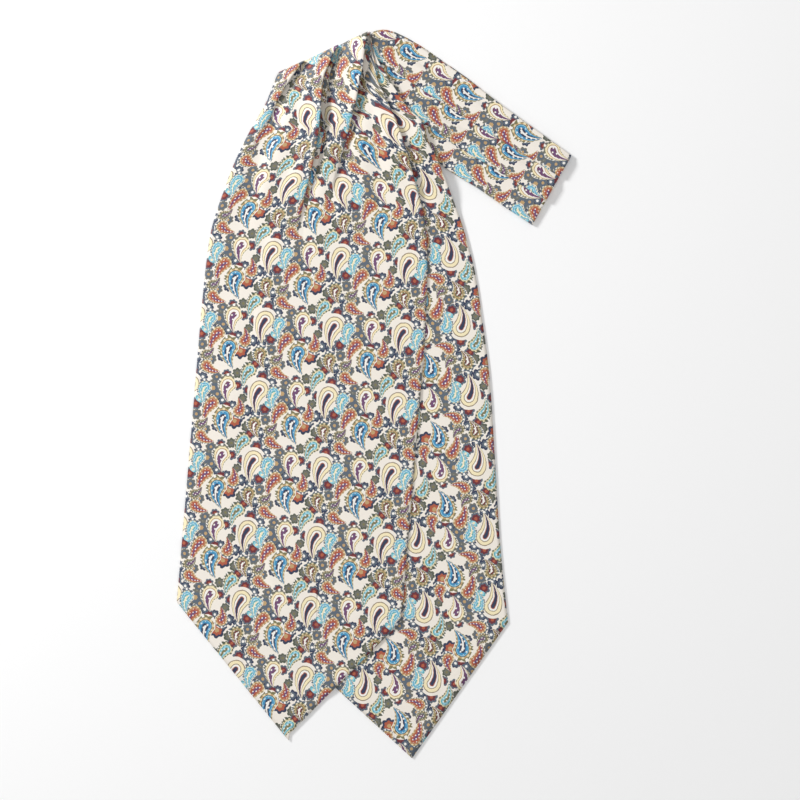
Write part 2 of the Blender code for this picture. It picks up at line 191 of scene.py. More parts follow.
FRONT_SINK = 0.55               # mid surface of the front blade below its CAD top
FRONT_DEEPEST = -0.5            # deepest troughs of the two blades
REAR_HEIGHT = 0.45
REAR_DEEPEST = -0.1
REAR_EDGE_LIFT = 1.6
REAR_EDGE_POWER = 6
REAR_UPPER_ROWS = 11.0          # rows of REAR_SECTIONS above the straight part
UNDER_ALONG = 60
UNDER_ACROSS = 14
UNDER_HEIGHT = 0.75

# Where the print is pinned: the plan place of a cream boteh's bulb on each blade, and one
# place on the band.
CREAM_BULB = (0.0, 0.07)
FRONT_PRINT_SPOT = (-43.4, -148.0)
REAR_PRINT_SPOT = (35.7, -154.4)
REAR_PRINT_DEG = 186.5
BAND_PRINT_SPOT = (37.0, 230.0)
BAND_PRINT_DEG = 55.0

# ---------------------------------------------------------------- print
# The paisley repeat, charted in shares of one repeat: bulb centre, bulb radius, the
# way the tail runs in degrees, and the tail's length in bulb radii.
Boteh = namedtuple("Boteh", "kind across along radius tail_deg tail_length")
BOTEHS = tuple(Boteh(*row) for row in (
    ("cream", 0.00, 0.07, 0.113, -118.0, 2.5),
    ("sky", 0.21, 0.04, 0.080, -112.0, 2.4),
    ("red", 0.21, 0.35, 0.072, -42.0, 2.5),
    ("flower", 0.54, 0.11, 0.102, -115.0, 2.0),
    ("red", 0.34, 0.83, 0.080, -129.0, 3.2),
    ("red", 0.73, 0.75, 0.074, 69.0, 2.0),
    ("brown", 0.97, 0.58, 0.084, -101.0, 1.9),
    ("bean", 0.19, 0.51, 0.064, 19.0, 1.9),
    ("blue", 0.51, 0.64, 0.112, -101.0, 2.3),
    ("teal", 0.84, 0.34, 0.084, -132.0, 2.5),
))
# Dye of the scalloped fringe along one side of each kind of boteh.
FRINGES = {"cream": "cream", "sky": "slate", "red": "slate", "flower": "grey", "brown": "slate",
           "bean": "grey", "blue": "olive", "teal": "moss"}
# Dyes of each kind of boteh from its middle out: share of the radius where each starts.
BOTEH_RINGS = {
    "cream": ((0.0, "navy"), (0.20, "rust"), (0.28, "white"), (0.50, "taupe"), (0.58, "cream"),
              (0.90, "taupe")),
    "sky": ((0.0, "cream"), (0.16, "aqua"), (0.36, "sky"), (0.56, "blue"), (0.66, "sky"),
            (0.88, "slate")),
    "red": ((0.0, "plum"), (0.22, "rust"), (0.62, "tan"), (0.70, "rust"), (0.78, "tan"),
            (0.93, "olive")),
    "flower": ((0.0, "plum"), (0.24, "wine"), (0.34, "white"), (0.62, "tan"), (0.72, "cream"),
               (0.90, "olive")),
    "brown": ((0.0, "white"), (0.14, "wine"), (0.36, "olive"), (0.56, "tan"), (0.70, "olive"),
              (0.86, "moss")),
    "bean": ((0.0, "plum"), (0.25, "grey"), (0.55, "olive"), (0.70, "taupe"), (0.85, "moss")),
    "blue": ((0.0, "white"), (0.12, "navy"), (0.34, "blue"), (0.60, "sky"), (0.68, "navy"),
             (0.76, "tan"), (0.92, "olive")),
    "teal": ((0.0, "olive"), (0.24, "sky"), (0.46, "aqua"), (0.64, "cream"), (0.74, "olive"),
             (0.88, "moss")),
}
# Scalloped leaf clusters between the botehs: centre, radius, colour.
Cluster = namedtuple("Cluster", "across along radius colour")
CLUSTERS = tuple(Cluster(*row) for row in (
    (0.03, 0.26, 0.055, "wine"), (0.83, 0.05, 0.044, "wine"), (0.14, 0.86, 0.040, "aqua"),
    (0.33, 0.04, 0.073, "grey"), (0.10, 0.80, 0.055, "wine"), (0.12, 0.36, 0.044, "navy"),
    (0.27, 0.45, 0.044, "grey"), (0.17, 0.19, 0.044, "navy"), (0.37, 0.20, 0.047, "grey"),
    (0.51, 0.26, 0.040, "wine"), (0.68, 0.11, 0.044, "wine"), (0.40, 0.96, 0.051, "grey"),
    (0.48, 0.88, 0.044, "navy"), (0.26, 0.90, 0.040, "navy"), (0.12, 0.65, 0.048, "grey"),
    (0.77, 0.93, 0.040, "moss"), (0.63, 0.82, 0.040, "navy"), (0.84, 0.76, 0.050, "navy"),
    (0.97, 0.72, 0.046, "navy"), (0.86, 0.53, 0.048, "moss"), (0.07, 0.47, 0.046, "navy"),
    (0.55, 0.80, 0.055, "wine"), (0.68, 0.60, 0.069, "rust"), (0.76, 0.66, 0.038, "navy"),
    (0.91, 0.43, 0.050, "wine"), (0.66, 0.28, 0.044, "moss"), (0.42, 0.50, 0.042, "navy"),
))
# Dyes of each colour of cluster: outer ring, inner ring, heart.
CLUSTER_DYES = {
    "wine": ("slate", "wine", "rust"), "navy": ("navy", "slate", "white"),
    "grey": ("grey", "slate", "tan"), "moss": ("moss", "grey", "olive"),
    "aqua": ("aqua", "sky", "cream"), "rust": ("navy", "rust", "tan"),
}
CLUSTER_GROWTH = 1.30
BOTEH_GROWTH = 1.08
BULB_SHIFT = 0.38               # a boteh's middle, from its bulb along its tail
HALF_REPEAT = (0.5, 0.5, 0.5)
RIB_SPACING = 0.55              # twill ribs, mm

# Dye colours, linear.
DYES = {
    "ground": (0.86, 0.80, 0.72), "navy": (0.030, 0.040, 0.085), "slate": (0.10, 0.13, 0.17),
    "grey": (0.155, 0.155, 0.135), "moss": (0.080, 0.095, 0.065), "wine": (0.150, 0.025, 0.035),
    "rust": (0.42, 0.10, 0.050), "tan": (0.52, 0.34, 0.16), "cream": (0.88, 0.77, 0.50),
    "taupe": (0.26, 0.20, 0.13), "blue": (0.055, 0.27, 0.50), "sky": (0.30, 0.60, 0.70),
    "aqua": (0.11, 0.39, 0.45), "olive": (0.20, 0.18, 0.085), "white": (0.88, 0.85, 0.80),
    "plum": (0.16, 0.07, 0.17),
}

# ---------------------------------------------------------------- stage
CAMERA_PLACE = (0.0182, -0.0043)
VIEW_WIDTH = 0.560
CAMERA_LENS = 85.0
SENSOR_WIDTH = 36.0
TABLE_SIZE = 6.0
TABLE_DROP = 0.0003
# Area lights: name, place in metres, size in metres, power in watts.
LIGHTS = (("key", (-1.25, 0.85, 0.85), 0.32, 25.0), ("fill", (1.2, -0.6, 1.8), 1.4, 5.0),
          ("crown", (0.0, 0.0, 2.4), 2.2, 10.5))
ROOM_LIGHT = 0.42


# ---------------------------------------------------------------- curves and heights
def placed(points):
    """Metres about the frame's origin, from plan sizes and heights in millimetres."""
    return (points - np.array((ORIGIN_X, ORIGIN_Y, 0.0))) * MM


def unit(vector):
    """The vector at length one."""
    return vector / np.linalg.norm(vector)


def smooth_step(value):
    """Zero below 0, one above 1, soft between."""
    share = np.clip(value, 0.0, 1.0)
    return share * share * (3.0 - 2.0 * share)


def through(stations, positions, at):
    """Smooth curve through rows of values given at the station positions."""
    stations = np.asarray(stations, dtype=float)
    slopes = np.gradient(stations, positions, axis=0)
    index = np.clip(np.searchsorted(positions, at, side="right") - 1, 0, len(positions) - 2)
    span = positions[index + 1] - positions[index]
    share = ((at - positions[index]) / span)[:, None]
    span = span[:, None]
    start = (2.0 * share**3 - 3.0 * share**2 + 1.0) * stations[index]
    start_slope = (share**3 - 2.0 * share**2 + share) * span * slopes[index]
    end = (3.0 * share**2 - 2.0 * share**3) * stations[index + 1]
    end_slope = (share**3 - share**2) * span * slopes[index + 1]
    return start + start_slope + end + end_slope


def along(points, count):
    """Points of an open polyline at even shares of its length."""
    points = np.asarray(points, dtype=float)
    steps = np.linalg.norm(np.diff(points, axis=0), axis=1)
    travelled = np.concatenate(([0.0], np.cumsum(steps)))
    wanted = np.linspace(0.0, travelled[-1], count)
    return np.stack([np.interp(wanted, travelled, points[:, axis]) for axis in (0, 1)], axis=1)


def outside_distance(points, outline):
    """Distance of each point from a closed outline, zero inside it."""
    start = np.asarray(outline, dtype=float)
    end = np.roll(start, -1, axis=0)
    edge = end - start
    offset = points[:, None, :] - start[None, :, :]
    share = np.clip((offset * edge).sum(axis=2) / (edge * edge).sum(axis=1), 0.0, 1.0)
    gap = np.linalg.norm(offset - share[:, :, None] * edge, axis=2).min(axis=1)
    above = start[None, :, 1] > points[:, None, 1]
    above_end = end[None, :, 1] > points[:, None, 1]
    rise = np.where(np.abs(edge[:, 1]) < 1e-9, 1e-9, edge[:, 1])
    cross = start[:, 0] + (points[:, None, 1] - start[:, 1]) * edge[:, 0] / rise
    crossings = ((above != above_end) & (points[:, None, 0] < cross)).sum(axis=1)
    return np.where(crossings % 2 == 1, 0.0, gap)


def lift_over(points, outline, height, margin, ramp):
    """Height the cloth is raised by a layer under it, easing off beyond its outline."""
    away = outside_distance(points, outline)
    return height * smooth_step((margin + ramp - away) / ramp)


def crease_relief(points, creases):
    """Sum of the soft uneven ridges and troughs at plan points."""
    total = np.zeros(len(points))
    for number, (start_x, start_y, end_x, end_y, half_width, height) in enumerate(creases):
        start = np.array((start_x, start_y))
        run = np.array((end_x, end_y)) - start
        length = np.linalg.norm(run)
        way = run / length
        offset = points - start
        share = offset @ way / length
        side = offset @ np.array((-way[1], way[0]))
        side = side + 1.6 * np.sin(share * 5.0 + number * 1.7)
        ends = smooth_step((share + 0.12) / 0.3) * smooth_step((1.25 - share) / 0.7)
        swell = 1.0 + 0.25 * np.sin(share * 9.0 + number)
        total += height * ends * swell * np.exp(-(side / half_width) ** 2)
    return total


def gentle_waves(points, amount, phase):
    """Very low unevenness of pressed cloth lying on a table."""
    x, y = points[:, 0], points[:, 1]
    waves = np.sin(x / 17.0 + phase) * np.sin(y / 31.0 + 1.3 * phase)
    waves += 0.6 * np.sin((x + y) / 23.0 + 2.1 * phase)
    return amount * (0.5 + 0.31 * waves)


# ---------------------------------------------------------------- cloth shells
def cloth_piece(name, points, pattern):
    """Thin closed cloth shell about a grid of mid points, with print and bake layouts."""
    rows, columns = points.shape[:2]
    down = np.gradient(points, axis=0)
    over = np.gradient(points, axis=1)
    normals = np.cross(over, down)
    lengths = np.linalg.norm(normals, axis=2, keepdims=True)
    normals = normals / np.maximum(lengths, 1e-9)
    if normals[rows // 2, columns // 2, 2] < 0.0:
        normals = -normals
    top = placed(points + normals * SHELL / 2.0)
    low = placed(points - normals * SHELL / 2.0)
    low[:, :, 2] = np.maximum(low[:, :, 2], LOWEST_FACE * MM)
    count = rows * columns
    vertices = np.concatenate((top.reshape(-1, 3), low.reshape(-1, 3)))
    faces = []
    layouts = []
    prints = []

    def spot(r, c, side):
        u = r / (rows - 1)
        v = c / (columns - 1)
        if side == "top":
            return (0.005 + 0.99 * u, 0.345 + 0.65 * v)
        return (0.005 + 0.99 * u, 0.005 + 0.32 * v)

    def add(corners, side):
        faces.append([index for index, _, _ in corners])
        layouts.extend(spot(r, c, side) for _, r, c in corners)
        prints.extend(tuple(pattern[r, c]) for _, r, c in corners)

    for r in range(rows - 1):
        for c in range(columns - 1):
            ring = ((r, c), (r + 1, c), (r + 1, c + 1), (r, c + 1))
            add([(i * columns + j, i, j) for i, j in ring], "top")
            add([(count + i * columns + j, i, j) for i, j in ring[::-1]], "low")
    border = [(r, 0) for r in range(rows)]
    border += [(rows - 1, c) for c in range(1, columns)]
    border += [(r, columns - 1) for r in range(rows - 2, -1, -1)]
    border += [(0, c) for c in range(columns - 2, 0, -1)]
    for (r, c), (nr, nc) in zip(border, border[1:] + border[:1]):
        here, there = r * columns + c, nr * columns + nc
        add([(count + here, r, c), (count + there, nr, nc), (there, nr, nc), (here, r, c)],
            "top")
    mesh = bpy.data.meshes.new(name)
    mesh.from_pydata(vertices.tolist(), [], faces)
    cloth = mesh.uv_layers.new(name="Cloth")
    cloth.data.foreach_set("uv", np.array(prints, dtype=float).ravel())
    bake = mesh.uv_layers.new(name="OFBake")
    bake.data.foreach_set("uv", np.array(layouts, dtype=float).ravel())
    mesh.validate()
    mesh.update()
    body = bmesh.new()
    body.from_mesh(mesh)
    bmesh.ops.recalc_face_normals(body, faces=body.faces[:])
    body.to_mesh(mesh)
    body.free()
    mesh.shade_smooth()
    made = bpy.data.objects.new(name, mesh)
    bpy.context.scene.collection.objects.link(made)
    return made


def turned_print(points, degrees, centre, phase):
    """Print coordinates of flat cloth: repeats across and along, axes turned by degrees."""
    angle = math.radians(degrees)
    across = np.array((math.cos(angle), math.sin(angle)))
    up = np.array((-math.sin(angle), math.cos(angle)))
    offset = points[..., :2] - np.array(centre)
    return np.stack((offset @ across / REPEAT_ACROSS + phase[0],
                     offset @ up / REPEAT_ALONG + phase[1]), axis=-1)


def path_print(points, flat, straight_row, left_column=0):
    """Print coordinates that follow the cloth: true below straight_row, travelled above it."""
    made = flat.copy()
    steps = np.linalg.norm(np.diff(points, axis=1), axis=2)
    travelled = np.concatenate((np.zeros((len(points), 1)), np.cumsum(steps, axis=1)), axis=1)
    start = flat[straight_row, left_column, 0]
    way = np.sign(flat[straight_row, -1, 0] - flat[straight_row, 0, 0])
    for r in range(straight_row - 1, -1, -1):
        made[r, :, 0] = start + way * (travelled[r] - travelled[r, left_column]) / REPEAT_ACROSS
        rise = np.linalg.norm(points[r, :, :2] - points[r + 1, :, :2], axis=1)
        sign = np.sign(flat[straight_row - 1, left_column, 1] - flat[straight_row, left_column, 1])
        made[r, :, 1] = made[r + 1, :, 1] + sign * rise / REPEAT_ALONG
    return made


def folded_edge(points, inward, roll, base, first_inset):
    """The grid with its first row rolled down towards base as a soft folded edge."""
    rings = []
    for inset, share in roll:
        ring = points[0].copy()
        ring[:, :2] += inset * inward
        ring[:, 2] = base + (ring[:, 2] - base) * share
        rings.append(ring)
    points[0, :, :2] += first_inset * inward
    return np.concatenate((np.array(rings), points))


def front_rows():
    """Every section's row of values, top edge first, and how many of them are gathered."""
    upper = np.array(FRONT_SECTIONS, dtype=float)
    lean = math.radians(FRONT_LEAN_DEG)
    across = np.array((math.cos(lean), math.sin(lean)))
    down = np.array((across[1], -across[0]))
    first = np.array(FRONT_STRAIGHT_TOP)
    last = np.array(FRONT_LEFT_CORNER)
    lower = []
    for share in np.linspace(0.0, 1.0, FRONT_LOWER_ROWS):
        left = first + share * (last - first)
        row = list(left)
        shares = [high + share * (hem - high)
                  for high, hem in zip(PLEAT_SHARES_HIGH, PLEAT_SHARES_HEM)]
        for across_share in shares + [1.0]:
            fall = min(across_share / FRONT_POINT_SHARE,
                       (1.0 - across_share) / (1.0 - FRONT_POINT_SHARE))
            point = left + across_share * BLADE_WIDTH * across
            row.extend(point + share * FRONT_POINT_DROP * fall * down)
        lower.append(row + [0.0] * 7)
    stations = np.concatenate((upper, np.array(lower)))
    positions = np.arange(len(stations), dtype=float)
    gathered = np.arange(0.0, len(upper), 0.16)
    plain = np.arange(len(upper), len(stations) - 0.99, 0.25)
    return through(stations, positions, np.concatenate((gathered, plain))), len(gathered)


def tuck(end, way, step, length, rise, hidden, edge_height):
    """Points that turn under at a fold, or lie open where the fold has run out."""
    closed = smooth_step(np.array(hidden / FULL_TUCK))
    depth = hidden / 2.0
    turned = [(shift, edge_height + drop) for shift, drop in TUCK_NOSE]
    for depth_share, height_share in TUCK_BACK:
        shift = depth_share * depth
        own = rise * max(1.0 + shift / length, 0.0)**RISE_POWER
        turned.append((shift, LAYER - TUCK_CLEARANCE + height_share * (own + TUCK_CLEARANCE)))
    plan = []
    height = []
    for number, (shift, turned_height) in enumerate(turned):
        open_place = end + step * (number + 1) * way
        plan.append(open_place + closed * (end + shift * way - open_place))
        height.append(LAYER + closed * (turned_height - LAYER))
    return plan, height


def front_section(row):
    """Points across one section: plan, height over the layer under it."""
    guides = row[GUIDES].reshape(5, 2)
    rises = PLEAT_RISE_GROWTH * np.concatenate((row[RISES], (0.0,)))
    hides = np.maximum(row[HIDES], 0.0)
    tuck_points = len(TUCK_NOSE) + len(TUCK_BACK)
    plan = []
    height = []
    for number, count in enumerate(STRETCH_COLUMNS):
        start, end = guides[number], guides[number + 1]
        way = unit(end - start)
        length = np.linalg.norm(end - start)
        step = min(OPEN_STEP, OPEN_STEP_SHARE * length)
        last = number == len(hides)
        begin = start + (step * (tuck_points + 1.0) if number else 0.0) * way
        for share in np.linspace(0.0, 1.0, count + 1):
            plan.append(begin + share * (end - begin))
            swell = row[LIFT] * share**RIGHT_LIFT_POWER if last else rises[number] * share**RISE_POWER
            bow = 0.0 if last else STRETCH_BOW * rises.max() * math.sin(math.pi * share)
            fade = math.exp(-share * length / FOLD_DIP_REACH)
            dip = FOLD_DIP * rises[number - 1] * fade if number else 0.0
            height.append(LAYER + swell + bow - dip)
        if not last:
            turned = tuck(end, way, step, length, rises[number], hides[number], height[-1])
            plan.extend(turned[0])
            height.extend(turned[1])
    return np.array(plan), np.array(height)


def build_front(rear_outline, strips_outline):
    """Front blade with its three pleats, its folded top edge and its lifted right side."""
    rows, gathered = front_rows()
    sections = [front_section(row) for row in rows]
    plan = np.array([points for points, _ in sections])
    height = np.array([heights for _, heights in sections])
    flat = plan.reshape(-1, 2)
    floor = lift_over(flat, UNDER_OUTLINE, SEAT, margin=8.0, ramp=24.0)
    floor += lift_over(flat, rear_outline, 0.9, margin=2.0, ramp=9.0)
    floor += lift_over(flat, strips_outline, 2.0 * SEAT, margin=8.0, ramp=25.0)
    relief = crease_relief(flat, FRONT_CREASES) + gentle_waves(flat, amount=0.35, phase=0.4)
    relief = np.maximum(relief.reshape(height.shape), FRONT_DEEPEST)
    held_columns = 4
    edge_hold = np.minimum(np.arange(height.shape[1]), held_columns)[None, :] / held_columns
    surface = floor.reshape(height.shape) + height - FRONT_SINK + relief * edge_hold
    points = np.dstack((plan, np.maximum(surface, LOWEST_MIDDLE)))
    points = folded_edge(points, unit(np.array(FRONT_INWARD)), FRONT_ROLL, FRONT_ROLL_BASE,
                         FRONT_ROLL_INSET)
    flat_print = turned_print(points, FRONT_LEAN_DEG, FRONT_PRINT_SPOT, CREAM_BULB)
    pattern = path_print(points, flat_print, gathered + len(FRONT_ROLL))
    return cloth_piece("front_blade_silk", points, pattern)


def build_rear(strips_outline):
    """Rear blade, its right margin and point showing, and its plan grid."""
    table = np.array(REAR_SECTIONS)
    positions = np.arange(len(table), dtype=float)
    at = np.concatenate((np.arange(0.0, REAR_UPPER_ROWS, 0.22),
                         np.arange(REAR_UPPER_ROWS, len(table) - 0.98, 0.1)))
    shares = np.concatenate((np.linspace(0.0, REAR_POINT_SHARE, 22),
                             np.linspace(REAR_POINT_SHARE, 1.0, 32)[1:]))
    fall = np.minimum(shares / REAR_POINT_SHARE, (1.0 - shares) / (1.0 - REAR_POINT_SHARE))
    plan = []
    for left_x, left_y, right_x, right_y, drop in through(table, positions, at):
        left = np.array((left_x, left_y))
        right = np.array((right_x, right_y))
        across = unit(right - left)
        down = np.array((across[1], -across[0]))
        plan.append(left + shares[:, None] * (right - left) + (drop * fall)[:, None] * down)
    plan = np.array(plan)
    flat = plan.reshape(-1, 2)
    floor = lift_over(flat, UNDER_OUTLINE, SEAT, margin=4.0, ramp=20.0)
    floor += lift_over(flat, strips_outline, 2.0 * SEAT, margin=4.0, ramp=20.0)
    relief = crease_relief(flat, REAR_CREASES) + gentle_waves(flat, amount=0.25, phase=1.9)
    surface = np.maximum(floor + REAR_HEIGHT + np.maximum(relief, REAR_DEEPEST), LOWEST_MIDDLE)
    surface = surface.reshape(plan.shape[:2])
    upper_rows = smooth_step((REAR_UPPER_ROWS + 0.5 - at) / 3.0)[:, None]
    surface = surface + REAR_EDGE_LIFT * upper_rows * shares[None, :]**REAR_EDGE_POWER
    points = np.dstack((plan, surface))
    straight = int(np.searchsorted(at, REAR_UPPER_ROWS + 1.0))
    flat_print = turned_print(points, REAR_PRINT_DEG, REAR_PRINT_SPOT, CREAM_BULB)
    pattern = path_print(points, flat_print, straight, len(shares) - 1)
    return cloth_piece("rear_blade_silk", points, pattern), plan


def build_strip(name, low_edge, high_edge, lapped, shift):
    """One pleat strip of the band: folded lower edge and lapped body."""
    low = along(low_edge, STRIP_ALONG)
    high = along(high_edge, STRIP_ALONG)
    nose = np.array(STRIP_NOSE)
    drops = np.concatenate((nose[:, 1], np.zeros(STRIP_ACROSS)))
    points = []
    for start, end in zip(low, high):
        width = np.linalg.norm(end - start)
        way = (end - start) / width
        offsets = np.concatenate((nose[:, 0], np.linspace(1.0, width, STRIP_ACROSS)))
        lap = smooth_step((LAP_END - offsets) / LAP_SLOPE) if lapped else np.zeros(len(offsets))
        plan = start + offsets[:, None] * way
        height = SEAT + SEAT * lap + LAYER - STRIP_SINK + drops
        away_from_fold = np.clip(offsets / 4.0, 0.0, 1.0)
        waves = gentle_waves(plan, amount=1.0, phase=0.7 + shift)
        height += STRIP_WAVE * waves * away_from_fold
        points.append(np.column_stack((plan, height)))
    points = folded_edge(np.array(points), unit(low[2] - low[0]), STRIP_ROLL, STRIP_ROLL_BASE,
                         STRIP_ROLL_INSET)
    pattern = turned_print(points, BAND_PRINT_DEG, BAND_PRINT_SPOT, (0.51 + shift, 0.30))
    return cloth_piece(name, points, pattern)


def build_under():
    """Under layer of the band, face down, showing as a thin line along the top edge."""
    outline = np.array(UNDER_OUTLINE)
    corner, next_point = outline[9], outline[10]
    lower = along(outline[:10], UNDER_ALONG)
    upper = along(np.concatenate((outline[10:], outline[:1]))[::-1], UNDER_ALONG)
    upper[-1] = corner + 0.3 * (next_point - corner)
    shares = np.linspace(0.0, 1.0, UNDER_ACROSS)[:, None]
    heights = np.full(UNDER_ACROSS, UNDER_HEIGHT)
    rows = [np.column_stack((start + shares * (end - start), heights))
            for start, end in zip(lower, upper)]
    points = np.array(rows)
    pattern = turned_print(points, BAND_PRINT_DEG, BAND_PRINT_SPOT, (0.2, 0.6))
    return cloth_piece("band_under_silk", points, pattern)


# ---------------------------------------------------------------- printed silk
class Nodes:
    """Short helpers for one material's node tree."""

    def __init__(self, tree):
        self.tree = tree

    def put(self, socket, value):
        """Link a socket or set a constant."""
        if isinstance(value, bpy.types.NodeSocket):
            self.tree.links.new(value, socket)
        elif value is not None:
            socket.default_value = value

    def math(self, operation, *values, clamp=False):
        """Math node."""
        node = self.tree.nodes.new("ShaderNodeMath")
        node.operation = operation
        node.use_clamp = clamp
        for socket, value in zip(node.inputs, values):
            self.put(socket, value)
        return node.outputs[0]

    def vector(self, operation, *values):
        """Vector math node."""
        node = self.tree.nodes.new("ShaderNodeVectorMath")
        node.operation = operation
        for socket, value in zip(node.inputs, values):
            self.put(socket, value)
        return node.outputs["Value"] if operation in ("LENGTH", "DOT_PRODUCT") else node.outputs[0]

    def mix(self, factor, first, second, kind="RGBA"):
        """Mix node for colours or vectors."""
        node = self.tree.nodes.new("ShaderNodeMix")
        node.data_type = kind
        names = {"RGBA": (6, 7, 2), "VECTOR": (4, 5, 1), "FLOAT": (2, 3, 0)}[kind]
        self.put(node.inputs[0], factor)
        self.put(node.inputs[names[0]], first)
        self.put(node.inputs[names[1]], second)
        return node.outputs[names[2]]

    def ramp(self, factor, stops):
        """Stepped colour ramp of dye names."""
        node = self.tree.nodes.new("ShaderNodeValToRGB")
        node.color_ramp.interpolation = "CONSTANT"
        elements = node.color_ramp.elements
        while len(elements) < len(stops):
            elements.new(0.5)
        for element, (place, dye) in zip(elements, stops):
            element.position = place
            element.color = (*DYES[dye], 1.0)
        self.put(node.inputs[0], factor)
        return node.outputs[0]

    def split(self, value):
        """The three parts of a vector."""
        node = self.tree.nodes.new("ShaderNodeSeparateXYZ")
        self.put(node.inputs[0], value)
        return node.outputs

    def join(self, x, y, z):
        """A vector of three parts."""
        node = self.tree.nodes.new("ShaderNodeCombineXYZ")
        for socket, value in zip(node.inputs, (x, y, z)):
            self.put(socket, value)
        return node.outputs[0]

    def noise(self, place, scale, detail):
        """Noise node."""
        node = self.tree.nodes.new("ShaderNodeTexNoise")
        node.inputs["Scale"].default_value = scale
        node.inputs["Detail"].default_value = detail
        self.put(node.inputs["Vector"], place)
        return node

    def length_of(self, first, second):
        """Root of the sum of two squares."""
        squares = [self.math("MULTIPLY", value, value) for value in (first, second)]
        return self.math("SQRT", self.math("ADD", *squares))

    def wrapped(self, cloth, place):
        """Offset of the cloth's place from the nearest copy of a place in the repeat."""
        offset = self.vector("SUBTRACT", cloth, (*place, 0.0))
        return self.vector("WRAP", offset, HALF_REPEAT, tuple(-half for half in HALF_REPEAT))


def dye(name):
    """A dye as a socket's colour."""
    return (*DYES[name], 1.0)


def nearer(g, best, best_far, local, far):
    """The nearer of two local places, and how far it is."""
    if best is None:
        return local, far
    closer = g.math("LESS_THAN", far, best_far)
    return g.mix(closer, best, local, "VECTOR"), g.math("MINIMUM", far, best_far)


def nearest(g, cloth, spots):
    """Local place of the nearest spot: its offset over its radius, and its number."""
    best = None
    best_far = None
    for number, (across, up, radius) in enumerate(spots):
        offset = g.wrapped(cloth, (across, up))
        far = g.math("DIVIDE", g.vector("LENGTH", offset), radius)
        local = g.vector("MULTIPLY_ADD", offset, (1.0 / radius, 1.0 / radius, 0.0),
                         (0.0, 0.0, float(number)))
        best, best_far = nearer(g, best, best_far, local, far)
    return best


def nearest_boteh(g, cloth):
    """Local place in the nearest boteh, tail along +Y, and its number."""
    best = None
    best_far = None
    for number, boteh in enumerate(BOTEHS):
        radius = boteh.radius * BOTEH_GROWTH
        length = boteh.tail_length
        turn = math.radians(boteh.tail_deg)
        way_x, way_y = math.cos(turn), math.sin(turn)
        reach = BULB_SHIFT * radius * length
        offset = g.wrapped(cloth, (boteh.across + reach * way_x, boteh.along + reach * way_y))
        side = g.vector("DOT_PRODUCT", offset, (way_y / radius, -way_x / radius, 0.0))
        ahead = g.vector("DOT_PRODUCT", offset, (way_x / radius, way_y / radius, 0.0))
        far = g.length_of(side, g.math("MULTIPLY", ahead, 2.0 / (length + 1.0)))
        from_bulb = g.math("DIVIDE", g.math("ADD", ahead, BULB_SHIFT * length), length)
        local = g.join(side, from_bulb, float(number))
        best, best_far = nearer(g, best, best_far, local, far)
    return best


def chosen(g, number, options):
    """Colour picked by a number from (last number, colour) pairs in rising order."""
    colour = options[-1][1]
    for last, option in options[-2::-1]:
        under = g.math("LESS_THAN", number, last + 0.5)
        colour = g.mix(under, colour, option)
    return colour


def leaf_print(g, cloth):
    """Scalloped leaf clusters on the ivory ground."""
    kinds = list(CLUSTER_DYES)
    clusters = sorted(CLUSTERS, key=lambda cluster: kinds.index(cluster.colour))
    spots = [(spot.across, spot.along, spot.radius * CLUSTER_GROWTH) for spot in clusters]
    leaf = nearest(g, cloth, spots)
    x, y, number = g.split(leaf)
    far = g.vector("LENGTH", g.vector("MULTIPLY", leaf, (1.0, 1.0, 0.0)))
    angle = g.math("ARCTAN2", y, x)
    lobes = g.math("ABSOLUTE", g.math("SINE", g.math("MULTIPLY_ADD", angle, 3.5, number)))
    edge = g.math("MULTIPLY_ADD", lobes, 0.26, 0.86)
    ring = g.math("DIVIDE", far, g.math("MULTIPLY", edge, 1.18))
    last = {spot.colour: index for index, spot in enumerate(clusters)}
    outer, inner, heart = (
        chosen(g, number, [(last[kind], dye(CLUSTER_DYES[kind][part])) for kind in kinds])
        for part in range(3))
    colour = g.mix(g.math("LESS_THAN", ring, 0.66), outer, inner)
    colour = g.mix(g.math("LESS_THAN", ring, 0.28), colour, heart)
    return g.mix(g.math("LESS_THAN", ring, 1.0), dye("ground"), colour)


def boteh_rings(g, side, ahead, number):
    """A boteh's rings: share of its radius, and its bent sideways and backward places."""
    lengths = [(k, (*[boteh.tail_length] * 3, 1.0)) for k, boteh in enumerate(BOTEHS)]
    length = g.vector("DOT_PRODUCT", chosen(g, number, lengths), (0.3333, 0.3333, 0.3334))
    forward = g.math("MAXIMUM", ahead, 0.0)
    behind = g.math("MULTIPLY", g.math("MINIMUM", ahead, 0.0), length)
    bend = g.math("MULTIPLY", g.math("POWER", forward, 2.2), 1.5)
    across = g.math("SUBTRACT", g.math("ADD", side, bend), g.math("MULTIPLY", forward, 0.45))
    taper = g.math("MAXIMUM", g.math("SUBTRACT", 1.0, forward), 0.0001)
    wide = g.math("MULTIPLY_ADD", g.math("POWER", taper, 0.62), 0.94, 0.06)
    ring = g.math("DIVIDE", g.length_of(across, behind), g.math("MULTIPLY", wide, 1.08))
    past_tip = g.math("MULTIPLY", g.math("GREATER_THAN", ahead, 1.02), 5.0)
    return g.math("ADD", ring, past_tip), across, behind, forward, length


